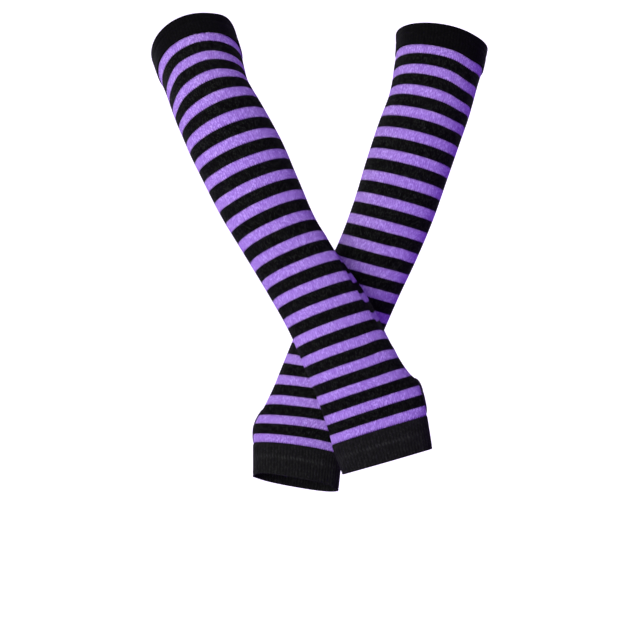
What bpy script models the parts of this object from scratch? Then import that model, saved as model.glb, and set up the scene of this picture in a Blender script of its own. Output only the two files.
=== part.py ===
"""A pair of long fingerless arm warmers, knitted as tubes, in the shape they take when worn.

Each warmer is a knitted tube along a bent centre line: a turned welt at the upper arm, the
sleeve, a ribbed cuff round the palm, and a thumb hole bound with overlock thread.
The front warmer runs from upper left to lower right and crosses over the back one.

Frame: metres, +Z up, +X to the wearer's left, +Y away from the viewer. The origin is midway
between the centres of the two upper openings, where the arms carry the pair.
Sizes below are in millimetres and degrees.
"""
import math

import bpy
import numpy as np

MM = 0.001

# Lengths of cloth, measured along a warmer from its upper edge
TOP_BAND = 22.0
STRIPE_PURPLE = 9.11
STRIPE_BLACK = 11.1
PURPLE_STRIPES = 20
HAND_CUFF = 26.0
STRIPE_PERIOD = STRIPE_PURPLE + STRIPE_BLACK
SLEEVE_END = TOP_BAND + PURPLE_STRIPES * STRIPE_PERIOD - STRIPE_BLACK
CLOTH_LENGTH = SLEEVE_END + HAND_CUFF
SLEEVE_SPLIT = TOP_BAND + 10 * STRIPE_PERIOD

# Walls, measured inwards from the sleeve's outer surface
KNIT_WALL = 1.4
WELT_WALL = 1.5
CUFF_WALL = 1.5
EDGE_ROUND = 0.9
EDGE_IN = 0.45
PIECE_GAP = 0.3

# The turned welt stands out of the sleeve, and dips at the line where its fold is sewn down
WELT_RISE = 1.0
WELT_FOLD = 9.0
FOLD_RISE = 0.5
WELT_SEAM_RISE = 0.1

# Ribs of the hand cuff, one knit and one purl wale each, on a cuff a little thicker than the sleeve
CUFF_RIBS = 72
CUFF_RISE = 0.15
RIB_RISE = 0.5

# Thumb hole, an ellipse laid on the cloth, and the overlock thread round its rim
HOLE_LENGTH = 33.0
HOLE_WIDTH = 24.0
HOLE_ALONG = 396.0
HOLE_TURN = 17.0
BINDING_GAP = 0.55
BINDING_WIDTH = 3.0
BINDING_THICK = 2.6
CUTTER_REACH = 5.0

# Resolution
AROUND_SLEEVE = 28
AROUND_BAND = 56
SLEEVE_ROWS = 15
HOLE_POINTS = 32
BINDING_SIDES = 6
RING_SAMPLES = 181
SHARP_ANGLE = 50.0

# Cross-sections of the sleeve's outer surface, from the upper edge to the finger edge.
# x, y, z: centre of the ring.  width, depth: its full size.  roll: how far its right end is
# turned up.  lean: how far its front is turned up.  fullness: 2 is an ellipse, more is squarer.
COLUMNS = ("along", "x", "y", "z", "width", "depth", "roll", "lean", "fullness")

FRONT_SECTIONS = (
    (0, -119.5, 6.5, -1.5, 83.5, 79, 19.5, 42, 2.0),
    (22, -112, -10, -23, 81.5, 77, 19, 45, 2.0),
    (33, -108.5, -18, -33.5, 79.2, 76, 19, 45, 2.0),
    (53, -102.5, -33.5, -51.5, 77, 74, 21.5, 42, 2.0),
    (73, -97, -43, -64.3, 78, 73.5, 25, 32, 2.0),
    (93, -89.8, -50, -78.4, 79.8, 73, 26, 21, 2.0),
    (113, -81, -56.5, -96, 81.7, 72.5, 24.5, 14, 2.0),
    (134, -71.4, -61.5, -114.7, 82.2, 71.5, 23.5, 11.5, 2.0),
    (174, -53.6, -69.5, -152.5, 79.2, 67, 24.5, 10, 2.1),
    (214, -33.8, -78, -190.4, 73.6, 63, 24.5, 11, 2.1),
    (254, -10.8, -86.5, -226.1, 76, 60.5, 23, 10, 2.2),
    (294, 10, -93.5, -260, 79, 57.5, 22, 7, 2.2),
    (335, 26.7, -98.5, -295.4, 81.6, 54, 20.5, 4.5, 2.3),
    (357, 35, -100, -314, 82.8, 51.6, 19.6, 3.3, 2.4),
    (375, 43, -101, -329, 87, 49, 19, 3, 2.4),
    (388, 49.7, -101.6, -340.3, 92, 46.4, 18.7, 3.6, 2.5),
    (395, 52, -102, -346.8, 92, 45, 18.5, 4, 2.5),
    (415, 56, -103.5, -365.5, 89.5, 42, 18, 4.5, 2.5),
    (441, 62.5, -105.5, -391.5, 84, 39, 16, 4.5, 2.5),
)

BACK_SECTIONS = (
    (0, 118.7, -6.5, 1.7, 87.6, 79, -11, 15, 2.0),
    (22, 115.9, -12.5, -18.4, 83.9, 76.5, -13, 19, 2.0),
    (33, 112.8, -16, -31.1, 81.9, 75, -13.5, 20, 2.0),
    (53, 108.6, -22, -50, 79.4, 73, -15, 18.5, 2.0),
    (73, 104, -27, -66.2, 78.5, 71.5, -16, 14, 2.0),
    (93, 97.2, -30.5, -84.5, 79, 70, -15, 7.5, 2.0),
    (134, 83.7, -34, -124, 78.4, 66, -14, 4, 2.1),
    (174, 70.7, -35.5, -163.5, 76.5, 62, -14, 1, 2.1),
    (214, 55.1, -35.5, -202.2, 74.7, 60.5, -14.5, -1.5, 2.2),
    (245, 41.1, -35.4, -231.2, 75.2, 59.6, -14.4, -1.2, 2.2),
    (274, 28.6, -35.5, -258.3, 76.2, 58.5, -14, 0, 2.2),
    (304, 16.6, -36, -285.9, 76.8, 56.7, -13.4, 1, 2.2),
    (335, 5.3, -37.5, -315, 78.3, 54, -12.5, 3, 2.3),
    (357, -2.3, -39.2, -336.9, 80.9, 51.4, -11.6, 5.5, 2.3),
    (375, -9, -41.5, -354.1, 84, 49, -11, 8, 2.4),
    (395, -17, -45.5, -371, 86.5, 46, -10.5, 11, 2.5),
    (415, -19, -49.5, -388, 83.5, 43, -10, 15, 2.5),
    (441, -20.6, -58.5, -416, 80, 40, -10, 18, 2.5),
)

# thumb_side: +1 where the thumb hole is on the warmer's +X side, -1 where on its -X side.
# hole_behind: how far the hole's middle lies behind that side's line
WARMERS = {
    "front": {"sections": FRONT_SECTIONS, "thumb_side": 1, "hole_behind": 5.0},
    "back": {"sections": BACK_SECTIONS, "thumb_side": -1, "hole_behind": 7.5},
}

PURPLE_KNIT = {"colour": (0.33, 0.18, 0.68), "roughness": 0.9}
BLACK_RIB = {"colour": (0.008, 0.008, 0.009), "roughness": 0.92}
BLACK_THREAD = {"colour": (0.012, 0.011, 0.014), "roughness": 0.8}


def section_values(sections, along):
    """Each column of the table at along, on cubic curves whose slope at a row is the mean
    of the two neighbouring slopes, weighted by the nearer one."""
    table = np.array(sections, dtype=float)
    stations = table[:, 0]
    steps = np.diff(stations)
    rises = np.diff(table, axis=0) / steps[:, None]
    slopes = np.empty_like(table)
    slopes[0] = rises[0]
    slopes[-1] = rises[-1]
    before = steps[:-1, None]
    after = steps[1:, None]
    slopes[1:-1] = (after * rises[:-1] + before * rises[1:]) / (before + after)
    along = np.clip(along, stations[0], stations[-1])
    cell = np.clip(np.searchsorted(stations, along, side="right") - 1, 0, len(steps) - 1)
    width = steps[cell][..., None]
    t = ((along - stations[cell]) / steps[cell])[..., None]
    start = table[cell]
    end = table[cell + 1]
    values = (start * (1 + 2 * t) * (1 - t) ** 2 + end * t * t * (3 - 2 * t)
              + width * slopes[cell] * t * (1 - t) ** 2 - width * slopes[cell + 1] * t * t * (1 - t))
    return {name: values[..., i] for i, name in enumerate(COLUMNS)}


def ring_samples(v):
    """Samples of a superellipse ring from its front round by +X: how far each lies to the side and
    to the back of the centre, and the length of cloth up to it."""
    turn = np.linspace(0.0, 2.0 * math.pi, RING_SAMPLES)
    power = (2.0 / v["fullness"])[..., None]
    side = np.sign(np.sin(turn)) * np.abs(np.sin(turn)) ** power * (v["width"] / 2)[..., None]
    back = -np.sign(np.cos(turn)) * np.abs(np.cos(turn)) ** power * (v["depth"] / 2)[..., None]
    pieces = np.hypot(np.diff(side, axis=-1), np.diff(back, axis=-1))
    length = np.concatenate([np.zeros_like(side[..., :1]), np.cumsum(pieces, axis=-1)], axis=-1)
    return side, back, length


def surface(sections, fraction, along):
    """Points of the outer surface in millimetres. fraction runs round the ring by arc length:
    0 at the front, 0.25 at +X, 0.5 at the back, 0.75 at -X."""
    fraction, along = np.broadcast_arrays(np.asarray(fraction, float), np.asarray(along, float))
    v = section_values(sections, along)
    side, back, length = ring_samples(v)
    target = (fraction % 1.0) * length[..., -1]
    cell = np.clip((length <= target[..., None]).sum(axis=-1) - 1, 0, RING_SAMPLES - 2)[..., None]
    low = np.take_along_axis(length, cell, -1)
    high = np.take_along_axis(length, cell + 1, -1)
    t = (target[..., None] - low) / (high - low)
    side = np.take_along_axis(side, cell, -1) * (1 - t) + np.take_along_axis(side, cell + 1, -1) * t
    back = np.take_along_axis(back, cell, -1) * (1 - t) + np.take_along_axis(back, cell + 1, -1) * t
    roll = np.radians(v["roll"])
    lean = np.radians(v["lean"])
    zero = np.zeros_like(roll)
    across = np.stack([np.cos(roll), zero, np.sin(roll)], axis=-1)
    up = np.stack([-np.sin(roll), zero, np.cos(roll)], axis=-1)
    away = np.stack([zero, np.cos(lean), zero], axis=-1) - np.sin(lean)[..., None] * up
    centre = np.stack([v["x"], v["y"], v["z"]], axis=-1)
    return centre + side * across + back * away


def outward(sections, fraction, along):
    """Unit normals of the surface, from two small steps round and along it."""
    step_round = 0.002
    step_along = 0.5
    round_it = (surface(sections, fraction + step_round, along)
                - surface(sections, fraction - step_round, along))
    low = np.clip(along - step_along, 0.0, CLOTH_LENGTH)
    high = np.clip(along + step_along, 0.0, CLOTH_LENGTH)
    along_it = surface(sections, fraction, high) - surface(sections, fraction, low)
    normal = np.cross(along_it, round_it)
    return normal / np.linalg.norm(normal, axis=-1, keepdims=True)


def cloth_points(sections, fraction, along, out):
    """Points moved out from the surface by out millimetres."""
    fraction, along, out = np.broadcast_arrays(fraction, along, out)
    return surface(sections, fraction, along) + out[..., None] * outward(sections, fraction, along)


def make_object(name, points, faces, finish, parent):
    """A mesh object from points in millimetres, its faces turned outwards if its volume is negative."""
    corners = np.array(points) * MM
    volume = 0.0
    for face in faces:
        for i in range(1, len(face) - 1):
            volume += np.dot(corners[face[0]], np.cross(corners[face[i]], corners[face[i + 1]]))
    if volume < 0:
        faces = [face[::-1] for face in faces]
    mesh = bpy.data.meshes.new(name)
    mesh.from_pydata(corners.tolist(), [], faces)
    mesh.validate()
    mesh.shade_smooth()
    mesh.set_sharp_from_angle(angle=math.radians(SHARP_ANGLE))
    material = bpy.data.materials.new(name)
    material.use_nodes = True
    shader = material.node_tree.nodes["Principled BSDF"]
    shader.inputs["Base Color"].default_value = (*finish["colour"], 1.0)
    shader.inputs["Roughness"].default_value = finish["roughness"]
    shader.inputs["Metallic"].default_value = 0.0
    material.diffuse_color = (*finish["colour"], 1.0)
    mesh.materials.append(material)
    item = bpy.data.objects.new(name, mesh)
    bpy.context.collection.objects.link(item)
    item.parent = parent
    return item


def tube_faces(outer_rows, outer_count, inner_rows, inner_count):
    """Faces of a closed tube wall. The outer rows come first, then the inner rows; at both
    ends one inner edge meets outer_count / inner_count outer edges in one face."""
    faces = []
    for row in range(outer_rows - 1):
        for k in range(outer_count):
            a = row * outer_count + k
            b = row * outer_count + (k + 1) % outer_count
            faces.append([a, b, b + outer_count, a + outer_count])
    base = outer_rows * outer_count
    for row in range(inner_rows - 1):
        for k in range(inner_count):
            a = base + row * inner_count + k
            b = base + row * inner_count + (k + 1) % inner_count
            faces.append([b, a, a + inner_count, b + inner_count])
    share = outer_count // inner_count
    for outer_start, inner_start, first in ((0, base, True),
                                            ((outer_rows - 1) * outer_count,
                                             base + (inner_rows - 1) * inner_count, False)):
        for k in range(inner_count):
            rim = [outer_start + (k * share + i) % outer_count for i in range(share + 1)]
            face = rim + [inner_start + (k + 1) % inner_count, inner_start + k]
            faces.append(face[::-1] if first else face)
    return faces


def tube_wall(name, sections, outer, inner, finish, parent, ribs=0, around=AROUND_SLEEVE,
              around_inside=AROUND_SLEEVE):
    """A tube of cloth. outer lists (along, out) for each outer row and inner lists (along, in);
    ribs raises every second outer point by RIB_RISE on the rows that stand out."""
    count = 2 * ribs if ribs else around
    along = np.array([row[0] for row in outer])[:, None]
    out = np.array([row[1] for row in outer])[:, None] + np.zeros(count)
    if ribs:
        crest = (np.arange(count) % 2)[None, :] * RIB_RISE
        out = out + np.where(out > 0, crest, 0.0)
    points = [cloth_points(sections, np.arange(count) / count, along, out).reshape(-1, 3)]
    along_in = np.array([row[0] for row in inner])[:, None]
    depth = np.array([row[1] for row in inner])[:, None]
    points.append(cloth_points(sections, np.arange(around_inside) / around_inside,
                               along_in, -depth).reshape(-1, 3))
    faces = tube_faces(len(outer), count, len(inner), around_inside)
    return make_object(name, np.concatenate(points), faces, finish, parent)


def top_band(side, sections, parent):
    """The turned welt: twice as thick as the sleeve, with the line where its fold is sewn down."""
    end = TOP_BAND - PIECE_GAP
    outer = ((0.0, -EDGE_IN), (EDGE_ROUND, WELT_RISE), (WELT_FOLD - EDGE_ROUND, WELT_RISE),
             (WELT_FOLD, FOLD_RISE), (WELT_FOLD + EDGE_ROUND, WELT_RISE), (end - EDGE_ROUND, WELT_RISE),
             (end, WELT_SEAM_RISE))
    inner = ((0.0, WELT_WALL), (TOP_BAND / 2, WELT_WALL), (end, WELT_WALL))
    tube_wall(side + "_top_band", sections, outer, inner, BLACK_RIB, parent,
              around=AROUND_BAND, around_inside=AROUND_BAND // 2)


def sleeve_tube(name, sections, start, end, parent):
    """A plain stretch of the striped sleeve."""
    alongs = np.linspace(start, end, SLEEVE_ROWS)
    return tube_wall(name, sections, [(a, 0.0) for a in alongs], [(a, KNIT_WALL) for a in alongs],
                     PURPLE_KNIT, parent)


def hole_curve(warmer, shrink):
    """The thumb hole's rim as fractions round and distances along, drawn in by shrink millimetres.
    The ellipse is turned so that its upper end lies nearer the back of the hand."""
    turn = np.linspace(0.0, 2.0 * math.pi, HOLE_POINTS, endpoint=False)
    behind = (HOLE_WIDTH / 2 - shrink) * np.sin(turn)
    down = (HOLE_LENGTH / 2 - shrink) * np.cos(turn)
    tilt = math.radians(HOLE_TURN)
    along = HOLE_ALONG + down * math.cos(tilt) - behind * math.sin(tilt)
    behind = warmer["hole_behind"] + behind * math.cos(tilt) + down * math.sin(tilt)
    girth = ring_samples(section_values(warmer["sections"], along))[2][..., -1]
    return 0.5 - warmer["thumb_side"] * (0.25 - behind / girth), along


def cut_thumb_hole(sleeve, side, warmer, parent):
    """Cuts the hole with a plug whose sides stand square to the cloth along the rim."""
    sections = warmer["sections"]
    fraction, along = hole_curve(warmer, 0.0)
    outside = cloth_points(sections, fraction, along, np.full(HOLE_POINTS, CUTTER_REACH))
    inside = cloth_points(sections, fraction, along, np.full(HOLE_POINTS, -CUTTER_REACH))
    faces = [[k, (k + 1) % HOLE_POINTS, HOLE_POINTS + (k + 1) % HOLE_POINTS, HOLE_POINTS + k]
             for k in range(HOLE_POINTS)]
    for centre, start in ((2 * HOLE_POINTS, 0), (2 * HOLE_POINTS + 1, HOLE_POINTS)):
        for k in range(HOLE_POINTS):
            face = [start + k, start + (k + 1) % HOLE_POINTS, centre]
            faces.append(face if start else face[::-1])
    points = np.concatenate([outside, inside, [outside.mean(axis=0)], [inside.mean(axis=0)]])
    plug = make_object(side + "_hole_cutter", points, faces, BLACK_THREAD, parent)
    plug.hide_render = True
    plug.display_type = "WIRE"
    cut = sleeve.modifiers.new("thumb_hole", "BOOLEAN")
    cut.operation = "DIFFERENCE"
    cut.solver = "EXACT"
    cut.object = plug


def thumb_binding(side, warmer, parent):
    """The overlock thread: a flat roll that follows the rim just inside it."""
    shrink = BINDING_GAP + BINDING_WIDTH / 2
    sections = warmer["sections"]
    fraction, along = hole_curve(warmer, shrink)
    middle = cloth_points(sections, fraction, along, np.full(HOLE_POINTS, -KNIT_WALL / 2))
    normal = outward(sections, fraction, along)
    forward = np.roll(middle, -1, axis=0) - np.roll(middle, 1, axis=0)
    inward = np.cross(normal, forward)
    inward /= np.linalg.norm(inward, axis=-1, keepdims=True)
    turn = np.linspace(0.0, 2.0 * math.pi, BINDING_SIDES, endpoint=False)
    points = (middle[:, None] + np.cos(turn)[None, :, None] * inward[:, None] * BINDING_WIDTH / 2
              + np.sin(turn)[None, :, None] * normal[:, None] * BINDING_THICK / 2).reshape(-1, 3)
    faces = []
    for k in range(HOLE_POINTS):
        after = (k + 1) % HOLE_POINTS
        for s in range(BINDING_SIDES):
            turned = (s + 1) % BINDING_SIDES
            faces.append([k * BINDING_SIDES + s, after * BINDING_SIDES + s,
                          after * BINDING_SIDES + turned, k * BINDING_SIDES + turned])
    make_object(side + "_thumb_binding", points, faces, BLACK_THREAD, parent)


def hand_cuff(side, sections, parent):
    """The ribbed cuff round the palm, rounded in at its finger edge."""
    start = SLEEVE_END + PIECE_GAP
    outer = ((start, 0.0), (start + EDGE_ROUND, CUFF_RISE), (CLOTH_LENGTH - EDGE_ROUND, CUFF_RISE),
             (CLOTH_LENGTH, -EDGE_IN))
    inner = ((start, CUFF_WALL), (CLOTH_LENGTH, CUFF_WALL))
    tube_wall(side + "_hand_cuff", sections, outer, inner, BLACK_RIB, parent,
              ribs=CUFF_RIBS, around_inside=CUFF_RIBS // 2)


def build_warmer(side, warmer):
    """All pieces of one warmer, under an empty at the origin."""
    parent = bpy.data.objects.new(side + "_warmer", None)
    bpy.context.collection.objects.link(parent)
    sections = warmer["sections"]
    top_band(side, sections, parent)
    sleeve_tube(side + "_sleeve_arm", sections, TOP_BAND, SLEEVE_SPLIT - PIECE_GAP, parent)
    hand = sleeve_tube(side + "_sleeve_hand", sections, SLEEVE_SPLIT, SLEEVE_END, parent)
    cut_thumb_hole(hand, side, warmer, parent)
    thumb_binding(side, warmer, parent)
    hand_cuff(side, sections, parent)


def main():
    for item in list(bpy.data.objects):
        bpy.data.objects.remove(item, do_unlink=True)
    for side, warmer in WARMERS.items():
        build_warmer(side, warmer)


main()
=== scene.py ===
import math
import bpy
import numpy as np
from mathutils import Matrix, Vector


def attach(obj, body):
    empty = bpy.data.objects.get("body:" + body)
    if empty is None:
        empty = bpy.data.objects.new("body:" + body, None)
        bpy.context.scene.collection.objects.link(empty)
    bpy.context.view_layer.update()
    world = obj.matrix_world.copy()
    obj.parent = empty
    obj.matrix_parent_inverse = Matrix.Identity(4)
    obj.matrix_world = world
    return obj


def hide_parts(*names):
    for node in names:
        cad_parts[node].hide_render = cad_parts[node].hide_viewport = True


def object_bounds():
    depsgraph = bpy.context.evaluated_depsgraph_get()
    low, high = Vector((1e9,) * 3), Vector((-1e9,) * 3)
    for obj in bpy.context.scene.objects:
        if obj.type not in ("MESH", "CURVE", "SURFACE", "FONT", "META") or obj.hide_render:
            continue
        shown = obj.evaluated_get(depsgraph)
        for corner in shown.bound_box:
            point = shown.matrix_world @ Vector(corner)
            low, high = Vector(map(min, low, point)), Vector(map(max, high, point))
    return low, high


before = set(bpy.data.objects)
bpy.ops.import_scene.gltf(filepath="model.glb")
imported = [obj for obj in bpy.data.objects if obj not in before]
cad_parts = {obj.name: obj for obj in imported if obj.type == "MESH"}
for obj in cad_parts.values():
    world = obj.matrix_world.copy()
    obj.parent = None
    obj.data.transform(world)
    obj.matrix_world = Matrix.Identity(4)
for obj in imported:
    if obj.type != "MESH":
        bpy.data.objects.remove(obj)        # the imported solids, which every piece of cloth below follows
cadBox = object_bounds()
print("frame loaded:", len(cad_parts), "nodes")

# Both warmers, in millimetres and degrees until quadMesh turns them into metres.
# Lengths along a warmer are counted on its cloth from the upper edge.
knit = {
    "course": 1.01054,        # height of one row of stitches
    "wales": 112,             # stitches round the tube
    "topBand": 22.0,
    "purpleRows": 9,
    "blackRows": 11,
    "purpleStripes": 20,
    "length": 441.1,
}
stripeRows = knit["purpleRows"] + knit["blackRows"]
sleeveRows = knit["purpleStripes"] * stripeRows - knit["blackRows"]
sleeveEnd = knit["topBand"] + sleeveRows * knit["course"]

# Cross-sections from the upper edge to the finger edge: centre, full width and depth, how far the
# right end is turned up, how far the front is turned up, and fullness (2 is an ellipse)
sectionColumns = ("along", "x", "y", "z", "width", "depth", "roll", "lean", "fullness")
# How far the evenly stretched cloth has slid down the arm: left, in front and right
slideColumns = ("along", "left", "front", "right")
warmers = {
    "front": {"thumbSide": 1, "holeBehind": 5.0, "sections": (
        (-8, -122.2, 12.5, 6.3, 84.2, 79.7, 19.7, 41, 2.0),
        (0, -119.5, 6.5, -1.5, 83.5, 79, 19.5, 42, 2.0),
        (22, -112, -10, -23, 81.5, 77, 19, 45, 2.0),
        (33, -108.5, -18, -33.5, 79.2, 76, 19, 45, 2.0),
        (53, -102.5, -33.5, -51.5, 77, 74, 21.5, 42, 2.0),
        (73, -97, -43, -64.3, 78, 73.5, 25, 32, 2.0),
        (93, -89.8, -50, -78.4, 79.8, 73, 26, 21, 2.0),
        (113, -81, -56.5, -96, 81.7, 72.5, 24.5, 14, 2.0),
        (134, -71.4, -61.5, -114.7, 82.2, 71.5, 23.5, 11.5, 2.0),
        (174, -53.6, -69.5, -152.5, 79.2, 67, 24.5, 10, 2.1),
        (214, -33.8, -78, -190.4, 73.6, 63, 24.5, 11, 2.1),
        (254, -10.8, -86.5, -226.1, 76, 60.5, 23, 10, 2.2),
        (294, 10, -93.5, -260, 79, 57.5, 22, 7, 2.2),
        (335, 26.7, -98.5, -295.4, 81.6, 54, 20.5, 4.5, 2.3),
        (357, 35, -100, -314, 82.8, 51.6, 19.6, 3.3, 2.4),
        (375, 43, -101, -329, 87, 49, 19, 3, 2.4),
        (388, 49.7, -101.6, -340.3, 92, 46.4, 18.7, 3.6, 2.5),
        (395, 52, -102, -346.8, 92, 45, 18.5, 4, 2.5),
        (415, 56, -103.5, -365.5, 89.5, 42, 18, 4.5, 2.5),
        (441, 62.5, -105.5, -391.5, 84, 39, 16, 4.5, 2.5),
        (446, 63.7, -105.9, -396.5, 83, 38.5, 15.6, 4.5, 2.5)),
        "slides": (
        (0, 0, 0, 0),
        (22, -1.6, 0, -2.6),
        (42, 1.8, -0.7, -2.8),
        (52, 1.8, -0.6, -4.2),
        (63, 2.7, 0.7, -3.6),
        (83, 1.6, 2.1, -0.4),
        (103, 0.7, 1.1, 1.5),
        (143, 0.4, 1.5, 2.6),
        (184, 0.3, 0.7, 1.1),
        (224, 0, 0.2, 0.1),
        (285, -1.1, -0.5, 1.0),
        (325, -0.9, -0.5, 1.4),
        (366, -0.2, 0.1, 1.1),
        (386, -0.5, -0.5, 0.3),
        (415, -1.7, -1.5, -0.6),
        (441, 1.6, 1.6, 1.4))},
    "back": {"thumbSide": -1, "holeBehind": 7.5, "sections": (
        (-8, 119.7, -4.3, 7.7, 88.9, 79.9, -10.3, 13.5, 2.0),
        (0, 118.7, -6.5, 1.7, 87.6, 79, -11, 15, 2.0),
        (22, 115.9, -12.5, -18.4, 83.9, 76.5, -13, 19, 2.0),
        (33, 112.8, -16, -31.1, 81.9, 75, -13.5, 20, 2.0),
        (53, 108.6, -22, -50, 79.4, 73, -15, 18.5, 2.0),
        (73, 104, -27, -66.2, 78.5, 71.5, -16, 14, 2.0),
        (93, 97.2, -30.5, -84.5, 79, 70, -15, 7.5, 2.0),
        (134, 83.7, -34, -124, 78.4, 66, -14, 4, 2.1),
        (174, 70.7, -35.5, -163.5, 76.5, 62, -14, 1, 2.1),
        (214, 55.1, -35.5, -202.2, 74.7, 60.5, -14.5, -1.5, 2.2),
        (245, 41.1, -35.4, -231.2, 75.2, 59.6, -14.4, -1.2, 2.2),
        (274, 28.6, -35.5, -258.3, 76.2, 58.5, -14, 0, 2.2),
        (304, 16.6, -36, -285.9, 76.8, 56.7, -13.4, 1, 2.2),
        (335, 5.3, -37.5, -315, 78.3, 54, -12.5, 3, 2.3),
        (357, -2.3, -39.2, -336.9, 80.9, 51.4, -11.6, 5.5, 2.3),
        (375, -9, -41.5, -354.1, 84, 49, -11, 8, 2.4),
        (395, -17, -45.5, -371, 86.5, 46, -10.5, 11, 2.5),
        (415, -19, -49.5, -388, 83.5, 43, -10, 15, 2.5),
        (441, -20.6, -58.5, -416, 80, 40, -10, 18, 2.5),
        (446, -21, -60.2, -421.4, 79.5, 39.5, -10, 18.5, 2.5)),
        "slides": (
        (0, 0, 0, 0),
        (22, 1.4, 3.6, 1.0),
        (31, 0.2, 1.6, -0.7),
        (51, -0.1, 1.6, -0.1),
        (72, 2.0, 3.0, 0.8),
        (92, 1.1, 1.0, 0.1),
        (103, 0.7, 0.8, 0.4),
        (143, 0.8, 1.4, 1.6),
        (184, 0.8, 1.5, 1.8),
        (224, 0.7, 1.6, 1.7),
        (264, 0.2, 1.0, 2.0),
        (325, -0.5, -1.0, 0),
        (345, -0.6, -3.0, -3.0),
        (366, -0.9, -4.7, -5.0),
        (395, -0.6, -4.6, -5.0),
        (406, 0, -2.9, -3.5),
        (415, -0.3, -2.6, -3.0),
        (441, 0, 0, 0))},
}


# Small helpers for shader nodes

def newGroup(name, inputs, outputs):
    # An empty node group with its sockets: (label, kind, value) for inputs, (label, kind) for outputs
    tree = bpy.data.node_groups.new(name, "ShaderNodeTree")
    for label, kind, value in inputs:
        socket = tree.interface.new_socket(label, in_out="INPUT", socket_type=kind)
        if value is not None:
            socket.default_value = value
    for label, kind in outputs:
        tree.interface.new_socket(label, in_out="OUTPUT", socket_type=kind)
    return tree, tree.nodes.new("NodeGroupInput").outputs, tree.nodes.new("NodeGroupOutput").inputs


def placeGroup(tree, group, **values):
    # Places a group in a material and returns its outputs
    node = tree.nodes.new("ShaderNodeGroup")
    node.node_tree = group
    for label, value in values.items():
        put(tree, node.inputs[label], value)
    return node.outputs


def put(tree, socket, value):
    # Links an output socket to an input, or sets a plain value on it
    if isinstance(value, bpy.types.NodeSocket):
        tree.links.new(value, socket)
    else:
        socket.default_value = value


def calc(tree, operation, *values):
    # One Math node
    node = tree.nodes.new("ShaderNodeMath")
    node.operation = operation
    for socket, value in zip(node.inputs, values):
        put(tree, socket, value)
    return node.outputs[0]


def vectorCalc(tree, operation, *values, scale=None):
    # One Vector Math node; scale is the number that SCALE multiplies by
    node = tree.nodes.new("ShaderNodeVectorMath")
    node.operation = operation
    for socket, value in zip(node.inputs, values):
        put(tree, socket, value)
    if scale is not None:
        put(tree, node.inputs["Scale"], scale)
    return node.outputs[0]


def blend(tree, factor, off, on):
    # A colour between off (factor 0) and on (factor 1)
    mix = tree.nodes.new("ShaderNodeMix")
    mix.data_type = "RGBA"
    for label, value in (("Factor", factor), ("A", off), ("B", on)):
        put(tree, mix.inputs[label], value)
    return mix.outputs["Result"]


def softNoise(tree, place, scale, detail):
    # Cloudy noise around 0, stretched by scale along each axis of place
    noise = tree.nodes.new("ShaderNodeTexNoise")
    put(tree, noise.inputs["Vector"], vectorCalc(tree, "MULTIPLY", place, scale))
    put(tree, noise.inputs["Scale"], 1.0)
    put(tree, noise.inputs["Detail"], detail)
    return calc(tree, "SUBTRACT", noise.outputs["Fac"], 0.5)


# Camera, light and floor

studio = {
    "camera": (0.002, -1.7105, -0.265), "lens": 100, "sensor": 36,
    "floor": -2.3, "floorRings": [0.001, 1.0, 2.2], "floorRadius": 3.4, "floorSides": 96,
    "bend": 1.1, "bendRows": 25, "wallTop": 3.2,
    "ambient": 0.16, "shade": (0.42, 0.03, 1.0, 1), "floorShade": (0.36, 0.12, 0.62, 1),
    "floorSeen": (0.8, 0.8, 0.8, 1), "glowSeen": (1, 1, 1, 1),
}
lamps = {
    "keyLight": {"place": (-1.2, -2.5, 0.2), "size": 2.1, "power": 105},
    "sideLight": {"place": (-2.7, -0.75, 0.1), "size": 1.6, "power": 18},
    "topLight": {"place": (-0.2, 0.4, 1.9), "size": 1.6, "power": 5},
    "backLeftLight": {"place": (-1.8, 2.3, 0.2), "size": 1.3, "power": 50},
    "backRightLight": {"place": (1.7, 2.4, 0.2), "size": 1.3, "power": 26},
}


def addLight(name, place, size, power):
    # A square soft box that faces the middle of the pair
    data = bpy.data.lights.new(name, "AREA")
    data.shape = "SQUARE"
    data.size = size
    data.energy = power
    lamp = bpy.data.objects.new(name, data)
    bpy.context.scene.collection.objects.link(lamp)
    lamp.location = place
    aim = (cadBox[0] + cadBox[1]) / 2 - lamp.location
    lamp.rotation_euler = aim.to_track_quat("-Z", "Y").to_euler()


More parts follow.
